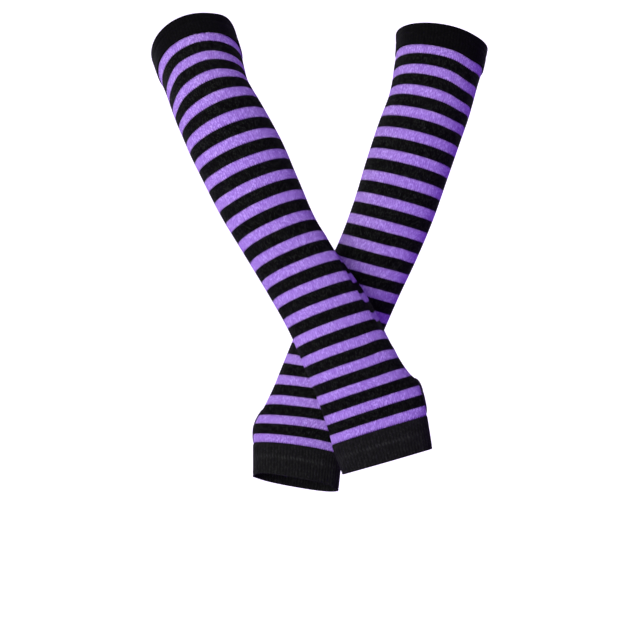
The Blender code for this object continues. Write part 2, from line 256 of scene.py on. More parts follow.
def paleFloor():
    # A round studio floor whose rim curves up into a wall: radius and height along one profile,
    # turned round the vertical axis
    turn = np.linspace(0, 2 * math.pi, studio["floorSides"] + 1)[:-1]
    quarter = np.linspace(0, math.pi / 2, studio["bendRows"])
    radius = np.concatenate([studio["floorRings"], studio["floorRadius"] + studio["bend"] * np.sin(quarter),
                             [studio["floorRadius"] + studio["bend"]]])
    height = np.concatenate([np.zeros(len(studio["floorRings"])), studio["bend"] * (1 - np.cos(quarter)),
                             [studio["wallTop"] - studio["floor"]]]) + studio["floor"]
    points = np.stack([radius[:, None] * np.cos(turn), radius[:, None] * np.sin(turn),
                       height[:, None] + 0 * turn], axis=-1)
    rows, columns = points.shape[:2]
    ids = np.arange(rows * columns).reshape(rows, columns)
    ids = np.concatenate([ids, ids[:, :1]], axis=1)
    quads = np.stack([ids[:-1, :-1], ids[:-1, 1:], ids[1:, 1:], ids[1:, :-1]], axis=-1).reshape(-1, 4)
    mesh = bpy.data.meshes.new("studioFloor")
    mesh.from_pydata(points.reshape(-1, 3).tolist(), [], quads.tolist())
    mesh.shade_smooth()
    material = bpy.data.materials.new("paleFloor")
    material.use_nodes = True
    tree = material.node_tree
    shader = tree.nodes["Principled BSDF"]
    shader.inputs["Roughness"].default_value = 1.0
    shader.inputs["Specular IOR Level"].default_value = 0.0
    # Seen directly the floor is near white. What it sends onto the cloth is softer and tinted, like
    # the light that knitted yarn throws into its own shade
    seen = tree.nodes.new("ShaderNodeLightPath").outputs["Is Camera Ray"]
    put(tree, shader.inputs["Base Color"], blend(tree, seen, studio["floorShade"], studio["floorSeen"]))
    put(tree, shader.inputs["Emission Color"], blend(tree, seen, studio["shade"], studio["glowSeen"]))
    glow = tree.nodes.new("ShaderNodeMapRange")
    put(tree, glow.inputs["To Min"], studio["ambient"])
    put(tree, glow.inputs["To Max"], 1.0)
    put(tree, glow.inputs["Value"], seen)
    put(tree, shader.inputs["Emission Strength"], glow.outputs["Result"])
    mesh.materials.append(material)
    floor = bpy.data.objects.new("studioFloor", mesh)
    bpy.context.scene.collection.objects.link(floor)


def makeStudio():
    # A level camera, the lamps, a tinted sky and the floor
    data = bpy.data.cameras.new("camera")
    data.lens = studio["lens"]
    data.sensor_width = studio["sensor"]
    camera = bpy.data.objects.new("camera", data)
    bpy.context.scene.collection.objects.link(camera)
    camera.location = studio["camera"]
    camera.rotation_euler = (math.pi / 2, 0, 0)
    bpy.context.scene.camera = camera
    for name, lamp in lamps.items():
        addLight(name, lamp["place"], lamp["size"], lamp["power"])
    world = bpy.data.worlds.new("softWhite")
    world.use_nodes = True
    world.node_tree.nodes["Background"].inputs["Color"].default_value = studio["shade"]
    world.node_tree.nodes["Background"].inputs["Strength"].default_value = studio["ambient"]
    bpy.context.scene.world = world
    bpy.context.scene.view_settings.view_transform = "Standard"
    bpy.context.scene.view_settings.look = "None"
    paleFloor()


# The worn form

# The grid starts above the upper edge, because the cloth is pulled up there at one place. The slides'
# left and right columns hold at sidePlace, a fraction of the way round
formGrid = {"step": 0.5, "start": -8, "end": 446, "round": 720, "samples": 721, "sidePlace": 0.19}


def tableValues(columns, rows, along):
    # Cubic curves through a table. A row's slope is the mean of its two neighbouring slopes,
    # weighted by the nearer one
    table = np.array(rows, dtype=float)
    stations = table[:, 0]
    steps = np.diff(stations)
    rises = np.diff(table, axis=0) / steps[:, None]
    slopes = np.empty_like(table)
    slopes[0] = rises[0]
    slopes[-1] = rises[-1]
    before = steps[:-1, None]
    after = steps[1:, None]
    slopes[1:-1] = (after * rises[:-1] + before * rises[1:]) / (before + after)
    along = np.clip(along, stations[0], stations[-1])
    cell = np.clip(np.searchsorted(stations, along, side="right") - 1, 0, len(steps) - 1)
    t = ((along - stations[cell]) / steps[cell])[..., None]
    width = steps[cell][..., None]
    values = (table[cell] * (1 + 2 * t) * (1 - t) ** 2 + table[cell + 1] * t * t * (3 - 2 * t)
              + width * slopes[cell] * t * (1 - t) ** 2 - width * slopes[cell + 1] * t * t * (1 - t))
    return {name: values[..., i] for i, name in enumerate(columns)}


def surfaceNormals(points):
    # Unit normals of a grid that is closed round: the cross product of its steps along and round
    alongStep = np.gradient(points, axis=0)
    roundStep = np.roll(points, -1, axis=1) - np.roll(points, 1, axis=1)
    normals = np.cross(alongStep, roundStep)
    return normals / np.linalg.norm(normals, axis=-1, keepdims=True)


def wornForm(sections, slides, pulls, folds):
    # Superellipse rings |side/a|^n + |back/b|^n = 1 along the bent centre line, walked round by equal
    # lengths of cloth from the front by +X, and moved in or out by the folds
    along = np.arange(formGrid["start"], formGrid["end"] + formGrid["step"] / 2, formGrid["step"])
    v = {name: value[:, None] for name, value in tableValues(sectionColumns, sections, along).items()}
    turn = np.linspace(0, 2 * math.pi, formGrid["samples"])[None, :]
    power = 2 / v["fullness"]
    side = np.sign(np.sin(turn)) * np.abs(np.sin(turn)) ** power * v["width"] / 2
    back = -np.sign(np.cos(turn)) * np.abs(np.cos(turn)) ** power * v["depth"] / 2
    length = np.cumsum(np.hypot(np.diff(side), np.diff(back)), axis=1)
    length = np.concatenate([np.zeros_like(length[:, :1]), length], axis=1)
    girth = length[:, -1]
    # one sorted list for all rings: ring number plus the share of its length, kept just under 1
    ring = np.arange(len(along))[:, None]
    justUnder = 0.999999
    share = length / girth[:, None] * justUnder + ring
    wanted = np.arange(formGrid["round"]) / formGrid["round"] * justUnder + ring
    side = np.interp(wanted.ravel(), share.ravel(), side.ravel()).reshape(wanted.shape)
    back = np.interp(wanted.ravel(), share.ravel(), back.ravel()).reshape(wanted.shape)
    roll = np.radians(v["roll"])
    lean = np.radians(v["lean"])
    zero = np.zeros_like(roll)
    across = np.stack([np.cos(roll), zero, np.sin(roll)], axis=-1)
    up = np.stack([-np.sin(roll), zero, np.cos(roll)], axis=-1)
    away = np.stack([zero, np.cos(lean), zero], axis=-1) - np.sin(lean)[..., None] * up
    centre = np.stack([v["x"], v["y"], v["z"]], axis=-1)
    points = centre + side[..., None] * across + back[..., None] * away
    fraction = np.arange(formGrid["round"])[None, :] / formGrid["round"]
    depth = foldDepth(folds, fraction, along[:, None], girth[:, None])
    points = points + depth[..., None] * surfaceNormals(points)
    return {"points": points, "normals": surfaceNormals(points), "girth": girth, "slides": slides,
            "pulls": pulls}


def foldDepth(folds, fraction, along, girth):
    # Each fold is a soft trough along a bowed line, with a low ridge on both sides, that fades out at
    # its ends: -depth * (exp(-(d/w)^2) - ridge * exp(-((|d|-2w)/w)^2)) * sin(pi t)^0.6, where w is the
    # width, and far times the width on the side of the greater fractions
    total = np.zeros(np.broadcast(fraction, along, girth).shape)
    for startAlong, startRound, endAlong, endRound, bow, near, far, depth, ridge in folds:
        x = ((fraction - startRound + 0.5) % 1.0 - 0.5) * girth
        y = along - startAlong
        reach = np.array([(endRound - startRound) * girth.mean(), endAlong - startAlong])
        size = np.hypot(*reach)
        unit = reach / size
        t = np.clip((x * unit[0] + y * unit[1]) / size, 0, 1)
        beside = y * unit[0] - x * unit[1] - bow * np.sin(math.pi * t)
        beyond = np.maximum(np.abs((x * unit[0] + y * unit[1]) / size - 0.5) - 0.5, 0) * size
        distance = np.hypot(beside, beyond)
        fade = np.sin(math.pi * np.clip(t, 0.001, 0.999)) ** 0.6
        width = np.where(beside < 0, near * far, near)
        trough = np.exp(-(distance / width) ** 2) - ridge * np.exp(-((distance - 2 * width) / width) ** 2)
        total -= depth * fade * trough
    return total


def slideAt(form, fraction, along):
    # The cloth's slide round the arm: front + (right - left)/2 * sin(2 pi f)/sin(2 pi s)
    # + ((right + left)/2 - front) * (1 - cos(4 pi f))/(1 - cos(4 pi s)), with s the side places.
    # Each local pull adds amount * exp(-(d along/reach)^2 - (d round/spread)^2)
    v = tableValues(slideColumns, form["slides"], along)
    side = 2 * math.pi * formGrid["sidePlace"]
    turn = 2 * math.pi * fraction
    sway = (v["right"] - v["left"]) / 2 * np.sin(turn) / math.sin(side)
    bow = ((v["right"] + v["left"]) / 2 - v["front"]) * (1 - np.cos(2 * turn)) / (1 - math.cos(2 * side))
    slide = v["front"] + sway + bow
    for pullAlong, pullRound, reach, spread, amount in form["pulls"]:
        beside = (fraction - pullRound + 0.5) % 1.0 - 0.5
        slide = slide + amount * np.exp(-((along - pullAlong) / reach) ** 2 - (beside / spread) ** 2)
    return slide


def onCloth(form, fraction, along, out):
    # A point of the worn form, read between the four nearest grid points, moved out along the normal
    fraction, along, out = np.broadcast_arrays(fraction, along, out)
    along = along + slideAt(form, fraction, along)
    row = np.clip((along - formGrid["start"]) / formGrid["step"], 0, len(form["points"]) - 1.001)
    column = (fraction % 1.0) * formGrid["round"]
    row0 = row.astype(int)
    column0 = column.astype(int) % formGrid["round"]
    column1 = (column0 + 1) % formGrid["round"]
    a = (row - row0)[..., None]
    b = (column - np.floor(column))[..., None]

    def between(grid):
        upper = grid[row0, column0] * (1 - b) + grid[row0, column1] * b
        lower = grid[row0 + 1, column0] * (1 - b) + grid[row0 + 1, column1] * b
        return upper * (1 - a) + lower * a

    return between(form["points"]) + out[..., None] * between(form["normals"])


def girthAt(form, along):
    # How far it is round the arm at a distance along
    rows = formGrid["start"] + np.arange(len(form["girth"])) * formGrid["step"]
    return np.interp(along, rows, form["girth"])


def quadMesh(name, points, quads, uv, material, body="root"):
    # A smooth mesh from points in millimetres, with a UV map counted in stitches. Its faces are
    # turned outwards: the sum of their signed cones is the volume, which has to be positive
    corners = points.reshape(-1, 3) * 0.001
    a, b, c, d = (corners[quads[:, i]] for i in range(4))
    volume = (a * np.cross(b, c)).sum() + (a * np.cross(c, d)).sum()
    uv = uv.reshape(-1, 4, 2)
    if volume < 0:
        quads = quads[:, ::-1]
        uv = uv[:, ::-1]
    mesh = bpy.data.meshes.new(name)
    mesh.from_pydata(corners.tolist(), [], quads.tolist())
    layer = mesh.uv_layers.new(name="stitches")
    layer.uv.foreach_set("vector", np.ascontiguousarray(uv, dtype=np.float32).ravel())
    mesh.shade_smooth()
    mesh.materials.append(material)
    piece = bpy.data.objects.new(name, mesh)
    bpy.context.scene.collection.objects.link(piece)
    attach(piece, body)
    return piece


def gridQuads(ids, uv):
    # Quads between neighbouring rows and columns of a grid of point numbers, with their corners' UVs
    quads = np.stack([ids[:-1, :-1], ids[:-1, 1:], ids[1:, 1:], ids[1:, :-1]], axis=-1)
    corners = np.stack([uv[:-1, :-1], uv[:-1, 1:], uv[1:, 1:], uv[1:, :-1]], axis=-2)
    return quads.reshape(-1, 4), corners.reshape(-1, 4, 2)


def stitchUv(fraction, along, wales, course):
    # Stitches round and rows along, counted from the end of the top band
    fraction, along = np.broadcast_arrays(fraction, along)
    return np.stack([fraction * wales, (along - knit["topBand"]) / course], axis=-1)


def closedWall(name, form, loopAlong, loopOut, columns, raised, wales, course, material):
    # A ring of cloth: a closed profile loop of (along, out) carried round the form. raised(fraction)
    # gives the ribs: how much further out each point of the profile lies, all round the ring
    fraction = np.arange(columns + 1)[None, :] / columns
    out = loopOut[:, None] + raised(fraction)
    points = onCloth(form, fraction[:, :-1], loopAlong[:, None], out[:, :-1])
    rows = len(loopAlong)
    ids = np.arange(rows * columns).reshape(rows, columns)
    ids = np.concatenate([ids, ids[:, :1]], axis=1)
    ids = np.concatenate([ids, ids[:1]], axis=0)
    uv = stitchUv(fraction, loopAlong[:, None], wales, course)
    uv = np.concatenate([uv, uv[:1]], axis=0)
    quads, corners = gridQuads(ids, uv)
    return quadMesh(name, points, quads, corners, material)


# Knit and yarn materials

stitchLook = {"strandPower": 0.6, "legPower": 0.6, "legRise": 0.7, "tonePower": 3.0}


def stitchGroup():
    # Jersey face: every stitch is a V of two legs. Across a stitch, tri is 0 at its middle and 1 at its
    # edge; the row number is floor(v + slant * (tri - 0.5)), so rows and stripes end in a zigzag.
    # Height is sin(pi v)^strandPower * (1 - legRise + legRise * (4 tri (1 - tri))^legPower).
    # Tone is a power of a random number for each leg: most are dull and a few catch the light
    tree, given, result = newGroup(
        "jerseyStitch",
        [("Stitches", "NodeSocketVector", None), ("Slant", "NodeSocketFloat", 1.2)],
        [("Height", "NodeSocketFloat"), ("Row", "NodeSocketFloat"), ("Tone", "NodeSocketFloat"),
         ("Groove", "NodeSocketFloat")])
    split = tree.nodes.new("ShaderNodeSeparateXYZ")
    put(tree, split.inputs[0], given["Stitches"])
    x = calc(tree, "FRACT", split.outputs["X"])
    tri = calc(tree, "MULTIPLY", calc(tree, "ABSOLUTE", calc(tree, "SUBTRACT", x, 0.5)), 2.0)
    v = calc(tree, "MULTIPLY_ADD", calc(tree, "SUBTRACT", tri, 0.5), given["Slant"], split.outputs["Y"])
    row = calc(tree, "FLOOR", v)
    within = calc(tree, "FRACT", v)
    wave = calc(tree, "SINE", calc(tree, "MULTIPLY", within, math.pi))
    strand = calc(tree, "POWER", wave, stitchLook["strandPower"])
    leg = calc(tree, "MULTIPLY", calc(tree, "MULTIPLY", tri, calc(tree, "SUBTRACT", 1.0, tri)), 4.0)
    crown = calc(tree, "MULTIPLY_ADD", calc(tree, "POWER", leg, stitchLook["legPower"]),
                 stitchLook["legRise"], 1 - stitchLook["legRise"])
    place = tree.nodes.new("ShaderNodeCombineXYZ")
    put(tree, place.inputs[0], calc(tree, "FLOOR", calc(tree, "MULTIPLY", split.outputs["X"], 2.0)))
    put(tree, place.inputs[1], row)
    noise = tree.nodes.new("ShaderNodeTexWhiteNoise")
    noise.noise_dimensions = "2D"
    put(tree, noise.inputs["Vector"], place.outputs[0])
    put(tree, result["Height"], calc(tree, "MULTIPLY", strand, crown))
    put(tree, result["Row"], row)
    put(tree, result["Tone"], calc(tree, "POWER", noise.outputs["Value"], stitchLook["tonePower"]))
    put(tree, result["Groove"], tri)
    return tree


def stripeGroup():
    # 1 on the purple rows and 0 on the black ones, from the row number. The first and last purple rows
    # are darker by Edge, because black loops show between theirs
    tree, given, result = newGroup(
        "stripes",
        [("Row", "NodeSocketFloat", 0.0), ("Period", "NodeSocketFloat", float(stripeRows)),
         ("Purple", "NodeSocketFloat", float(knit["purpleRows"])), ("Edge", "NodeSocketFloat", 0.15)],
        [("Mask", "NodeSocketFloat")])
    place = calc(tree, "FLOORED_MODULO", calc(tree, "ADD", given["Row"], 0.5), given["Period"])
    half = calc(tree, "MULTIPLY", given["Purple"], 0.5)
    fromMiddle = calc(tree, "ABSOLUTE", calc(tree, "SUBTRACT", place, half))
    inside = calc(tree, "LESS_THAN", fromMiddle, half)
    edge = calc(tree, "GREATER_THAN", fromMiddle, calc(tree, "SUBTRACT", half, 1.0))
    kept = calc(tree, "SUBTRACT", 1.0, calc(tree, "MULTIPLY", edge, given["Edge"]))
    put(tree, result["Mask"], calc(tree, "MULTIPLY", inside, kept))
    return tree


# Streaks are stretched noise: its scale round, along and out, its detail and its share
yarnLook = {"middleHeight": 0.7, "middleTone": 0.25, "darkest": 0.05,
            "fineStreak": (0.9, 0.22, 1.0), "fineDetail": 2.0, "fineShare": 1.6,
            "broadStreak": (0.35, 0.3, 1.0), "broadDetail": 3.0, "broadShare": 1.2,
            "lintScale": 420.0, "lintCut": 0.86, "lintColour": (0.8, 0.78, 0.85, 1)}


def yarnGroup():
    # Yarn colour: painted shade between the strands and painted light on their crowns (Gap), painted
    # shade towards the edges of the wales and painted light along their middles (Wale), uneven from leg to
    # leg (Uneven), streaked along the wales and a little cloudy (Streak), with rare pale specks (Lint).
    # Grain is how strongly red, green and blue follow that shade: colour * (1 + grain * (shade - 1))
    tree, given, result = newGroup(
        "yarnTone",
        [("Color", "NodeSocketColor", (0.5, 0.5, 0.5, 1)), ("Stitches", "NodeSocketVector", None),
         ("Height", "NodeSocketFloat", 1.0), ("Tone", "NodeSocketFloat", yarnLook["middleTone"]),
         ("Groove", "NodeSocketFloat", 0.5), ("Gap", "NodeSocketFloat", 0.0),
         ("Uneven", "NodeSocketFloat", 0.0), ("Wale", "NodeSocketFloat", 0.0),
         ("Streak", "NodeSocketFloat", 0.0), ("Lint", "NodeSocketFloat", 0.0),
         ("Grain", "NodeSocketVector", (1, 1, 1))],
        [("Color", "NodeSocketColor")])
    # painted shade in the low parts of the height, between the strands, and painted light on their crowns
    fromHeight = calc(tree, "SUBTRACT", given["Height"], yarnLook["middleHeight"])
    shade = calc(tree, "MULTIPLY_ADD", fromHeight, given["Gap"], 1.0)
    fromTone = calc(tree, "SUBTRACT", given["Tone"], yarnLook["middleTone"])
    uneven = calc(tree, "MULTIPLY", fromTone, given["Uneven"])
    # painted shade towards the edges of each wale and painted light along its middle
    fromGroove = calc(tree, "SUBTRACT", 0.5, given["Groove"])
    uneven = calc(tree, "MULTIPLY_ADD", fromGroove, given["Wale"], uneven)
    fine = softNoise(tree, given["Stitches"], yarnLook["fineStreak"], yarnLook["fineDetail"])
    broad = softNoise(tree, given["Stitches"], yarnLook["broadStreak"], yarnLook["broadDetail"])
    streak = calc(tree, "MULTIPLY_ADD", fine, yarnLook["fineShare"],
                  calc(tree, "MULTIPLY", broad, yarnLook["broadShare"]))
    uneven = calc(tree, "MULTIPLY_ADD", streak, given["Streak"], uneven)
    shade = calc(tree, "MULTIPLY", shade, calc(tree, "ADD", uneven, 1.0))
    change = vectorCalc(tree, "SCALE", given["Grain"], scale=calc(tree, "SUBTRACT", shade, 1.0))
    gain = vectorCalc(tree, "MAXIMUM", vectorCalc(tree, "ADD", change, (1, 1, 1)), (yarnLook["darkest"],) * 3)
    toned = vectorCalc(tree, "MULTIPLY", given["Color"], gain)
    lint = tree.nodes.new("ShaderNodeTexNoise")
    put(tree, lint.inputs["Vector"], tree.nodes.new("ShaderNodeTexCoord").outputs["Object"])
    put(tree, lint.inputs["Scale"], yarnLook["lintScale"])
    put(tree, lint.inputs["Detail"], 0.0)
    speck = calc(tree, "GREATER_THAN", lint.outputs["Fac"], yarnLook["lintCut"])
    speck = calc(tree, "MULTIPLY", speck, given["Lint"])
    put(tree, result["Color"], blend(tree, speck, toned, yarnLook["lintColour"]))
    return tree


def clothMaterial(name, look):
    # A matt material with plain gloss and sheen, its nodes and its shader
    material = bpy.data.materials.new(name)
    material.use_nodes = True
    shader = material.node_tree.nodes["Principled BSDF"]
    for socket, value in (("Roughness", "roughness"), ("Specular IOR Level", "specular"),
                          ("Sheen Weight", "sheen"), ("Sheen Roughness", "sheenRoughness"),
                          ("Sheen Tint", "sheenTint")):
        shader.inputs[socket].default_value = look[value]
    return material, material.node_tree, shader


def addBump(tree, shader, height, distance):
    # A height of 1 stands out by distance, in metres
    bump = tree.nodes.new("ShaderNodeBump")
    bump.inputs["Strength"].default_value = 1.0
    bump.inputs["Distance"].default_value = distance
    put(tree, bump.inputs["Height"], height)
    put(tree, shader.inputs["Normal"], bump.outputs["Normal"])


def stitchMap(tree):
    # The piece's own UV map, counted in stitches
    node = tree.nodes.new("ShaderNodeUVMap")
    node.uv_map = "stitches"
    return node.outputs["UV"]


colours = {
    "purple": (0.477, 0.311, 0.747, 1),
    "black": (0.0060, 0.0070, 0.0050, 1),
    "bandBlack": (0.0032, 0.0035, 0.0026, 1),
    "cuffBlack": (0.0102, 0.0112, 0.0088, 1),
    "thread": (0.006, 0.0055, 0.0065, 1),
}

# The gap and wale shares paint shade between the strands and towards the wales' edges, and light on the
# strands' crowns and the wales' middles
stripedLook = {"roughness": 0.9, "specular": 0.03, "sheen": 0.0015, "sheenRoughness": 0.5,
               "sheenTint": (0.8, 0.7, 1.0, 1), "slant": 1.2, "gapShade": 0.7, "wale": 0.3, "streak": 0.03,
               "lint": 0.03, "purpleUneven": 0.95, "blackUneven": 2.8, "purpleGrain": (0.79, 1.1, 0.445),
               "bump": 0.0007}


def stripedKnit():
    # Purple and black yarn by the stripes' mask. The black yarn's legs are less even, and the purple
    # yarn's shade changes its red, green and blue by the shares of purpleGrain
    material, tree, shader = clothMaterial("stripedKnit", stripedLook)
    place = stitchMap(tree)
    stitch = placeGroup(tree, stitches, Stitches=place, Slant=stripedLook["slant"])
    mask = placeGroup(tree, stripes, Row=stitch["Row"])["Mask"]
    more = tuple(share - 1 for share in stripedLook["purpleGrain"])
    grain = vectorCalc(tree, "ADD", vectorCalc(tree, "SCALE", more, scale=mask), (1, 1, 1))
    uneven = calc(tree, "MULTIPLY_ADD", mask, stripedLook["purpleUneven"] - stripedLook["blackUneven"],
                  stripedLook["blackUneven"])
    # the yarn tone paints shade between the strands and the wales, and light on their crowns and middles
    yarn = placeGroup(tree, yarns, Color=blend(tree, mask, colours["black"], colours["purple"]),
                      Stitches=place, Height=stitch["Height"], Tone=stitch["Tone"], Groove=stitch["Groove"],
                      Gap=stripedLook["gapShade"], Wale=stripedLook["wale"], Streak=stripedLook["streak"],
                      Lint=stripedLook["lint"], Uneven=uneven, Grain=grain)
    put(tree, shader.inputs["Base Color"], yarn["Color"])
    addBump(tree, shader, stitch["Height"], stripedLook["bump"])
    return material


# The gap share paints shade between the strands and light on their crowns
ribLook = {"roughness": 0.9, "specular": 0.03, "sheen": 0.008, "sheenRoughness": 0.5,
           "sheenTint": (0.8, 0.85, 1.0, 1), "slant": 1.1, "gapShade": 0.7, "uneven": 1.0, "streak": 0.1,
           "bump": 0.0003, "tickLean": 2.2, "tickSharpness": 0.9, "tickStrength": 1.7, "patchScale": 0.11}


def blackKnit(name, colour, grooveShade, tickRow=None):
    # One wale on every rib: the stitches are moved by half a wale, and painted shade darkens the grooves
    # between the ribs by 1 - depth * (1 + cos(2 pi x)) / 2. A row of slanting ticks, one a rib, shows where
    # a sewn row lies under the cloth: 1 + strength * exp(-sharpness * (v - lean * x - row)^2) * patches
    material, tree, shader = clothMaterial(name, ribLook)
    place = vectorCalc(tree, "ADD", stitchMap(tree), (0.5, 0.0, 0.0))
    stitch = placeGroup(tree, stitches, Stitches=place, Slant=ribLook["slant"])
    split = tree.nodes.new("ShaderNodeSeparateXYZ")
    put(tree, split.inputs[0], place)
    wave = calc(tree, "COSINE", calc(tree, "MULTIPLY", split.outputs["X"], 2 * math.pi))
    # painted shade in the grooves between the ribs
    groove = calc(tree, "SUBTRACT", 1.0, calc(tree, "MULTIPLY", calc(tree, "ADD", wave, 1.0), grooveShade / 2))
    if tickRow is not None:
        slanted = calc(tree, "MULTIPLY_ADD", calc(tree, "FRACT", split.outputs["X"]), -ribLook["tickLean"],
                       split.outputs["Y"])
        beyond = calc(tree, "SUBTRACT", slanted, tickRow)
        near = calc(tree, "EXPONENT", calc(tree, "MULTIPLY", calc(tree, "MULTIPLY", beyond, beyond),
                                           -ribLook["tickSharpness"]))
        patches = tree.nodes.new("ShaderNodeTexNoise")
        put(tree, patches.inputs["Vector"], place)
        put(tree, patches.inputs["Scale"], ribLook["patchScale"])
        put(tree, patches.inputs["Detail"], 1.0)
        shown = calc(tree, "MULTIPLY", calc(tree, "MULTIPLY", near, patches.outputs["Fac"]),
                     ribLook["tickStrength"])
        groove = calc(tree, "MULTIPLY", groove, calc(tree, "ADD", shown, 1.0))
    # the yarn tone also paints shade between the strands and light on their crowns
    yarn = placeGroup(tree, yarns, Color=vectorCalc(tree, "SCALE", colour[:3], scale=groove), Stitches=place,
                      Height=stitch["Height"], Tone=stitch["Tone"], Gap=ribLook["gapShade"],
                      Uneven=ribLook["uneven"], Streak=ribLook["streak"])
    put(tree, shader.inputs["Base Color"], yarn["Color"])
    addBump(tree, shader, stitch["Height"], ribLook["bump"])
    return material


threadLook = {"roughness": 0.7, "specular": 0.2, "sheen": 0.05, "sheenRoughness": 0.5,
              "sheenTint": (0.9, 0.9, 1.0, 1), "plies": 12.0, "gapShade": 0.3, "bump": 0.00008}


def threadMaterial():
    # Plied thread: fine slanting lines along its own length, (1 + sin(plies * v + 2 pi x)) / 2 high
    material, tree, shader = clothMaterial("overlockThread", threadLook)
    place = stitchMap(tree)
    split = tree.nodes.new("ShaderNodeSeparateXYZ")
    put(tree, split.inputs[0], place)
    ply = calc(tree, "SINE", calc(tree, "MULTIPLY_ADD", split.outputs["Y"], threadLook["plies"],
                                  calc(tree, "MULTIPLY", split.outputs["X"], 2 * math.pi)))
    height = calc(tree, "MULTIPLY_ADD", ply, 0.5, 0.5)
    # the yarn tone also paints shade between the plies and faint light on their tops
    yarn = placeGroup(tree, yarns, Color=colours["thread"], Stitches=place, Height=height,
                      Gap=threadLook["gapShade"])
    put(tree, shader.inputs["Base Color"], yarn["Color"])
    addBump(tree, shader, height, threadLook["bump"])
    return material


# The pieces

# Folds of the worn cloth: startAlong, startRound, endAlong, endRound (0 is the front, 0.25 is
# +X), bow, width, how many times wider the far side is, depth and ridge
clothFolds = {
    "front": (
        (230, 0.238, 345, 0.232, 10.5, 3.2, 3.6, 3.8, 0.0),
        (20, 0.034, 33, 0.030, 0.0, 1.1, 1.0, 0.9, 0.3),
        (20, 0.046, 36, 0.047, 0.5, 0.9, 1.0, 0.5, 0.3),
        (20, 0.060, 32, 0.056, 0.0, 1.2, 1.0, 1.0, 0.3),
        (20, 0.081, 38, 0.086, -0.5, 1.0, 1.0, 0.7, 0.3),
        (20, 0.098, 31, 0.097, 0.0, 1.3, 1.0, 0.5, 0.3),
        (20, 0.47, 33, 0.465, 0.0, 1.2, 1.0, 0.8, 0.3),
        (20, 0.52, 31, 0.522, 0.0, 1.0, 1.0, 0.6, 0.3),
        (374, 0.245, 400, 0.245, 0.0, 5.0, 1.0, -1.2, 0.0),
        (55, 0.43, 58, 0.58, 1.0, 2.6, 1.0, 1.3, 0.3),
        (69, 0.45, 65, 0.60, -1.5, 3.2, 1.0, 1.7, 0.3),
        (82, 0.40, 86, 0.53, 1.0, 2.8, 1.0, 1.0, 0.3),
        (352, 0.50, 358, 0.64, 2.0, 3.6, 1.0, 0.9, 0.2),
    ),
    "back": (
        (62, 0.60, 80, 0.72, 2.0, 4.0, 1.0, 0.9, 0.3),
        (20, 0.93, 34, 0.926, 0.0, 1.1, 1.0, 0.5, 0.3),
        (20, 0.55, 33, 0.556, 0.0, 1.2, 1.0, 0.7, 0.3),
        (74, 0.44, 71, 0.56, -1.0, 2.8, 1.0, 0.9, 0.3),
        (338, 0.42, 345, 0.57, 1.5, 3.4, 1.0, 1.1, 0.3),
        (356, 0.47, 352, 0.60, -1.0, 3.0, 1.0, 0.8, 0.3),
        (226, 0.56, 252, 0.66, 3.0, 4.0, 1.0, 0.8, 0.2),
    ),
}

# Where the cloth is pulled down the arm (amount above 0) or up: along, round, reach along, spread
# round and amount. The first row lifts the front warmer's upper edge at its right
clothPulls = {
    "front": (
        (0, 0.2, 12, 0.07, -5.0),
        (48, -0.085, 14, 0.045, -1.6),
        (73, -0.16, 13, 0.04, 1.3),
        (62, 0.13, 32, 0.065, 1.9),
        (130, 0.13, 30, 0.07, -0.7),
        (158, -0.11, 35, 0.07, 0.7),
        (338, 0.14, 26, 0.05, -1.3),
        (290, 0.215, 40, 0.03, 2.0),
    ),
    "back": (
        (42, 0.125, 42, 0.06, 2.6),
        (208, 0.09, 14, 0.05, -0.8),
        (370, -0.15, 14, 0.06, -1.0),
        (441, -0.24, 9, 0.04, 1.8),
        (441, 0.22, 9, 0.04, 2.0),
    ),
}

sleeveShape = {"wall": 1.3, "columns": 336, "rowStep": 3.2, "tuck": 0.4}
thumbHole = {"length": 33.0, "width": 24.0, "along": 396.0, "turn": 17.0,
             "shrink": 0.8, "spread": 46.0, "rimRows": 26, "rimClear": 0.5, "innerEvery": 3}


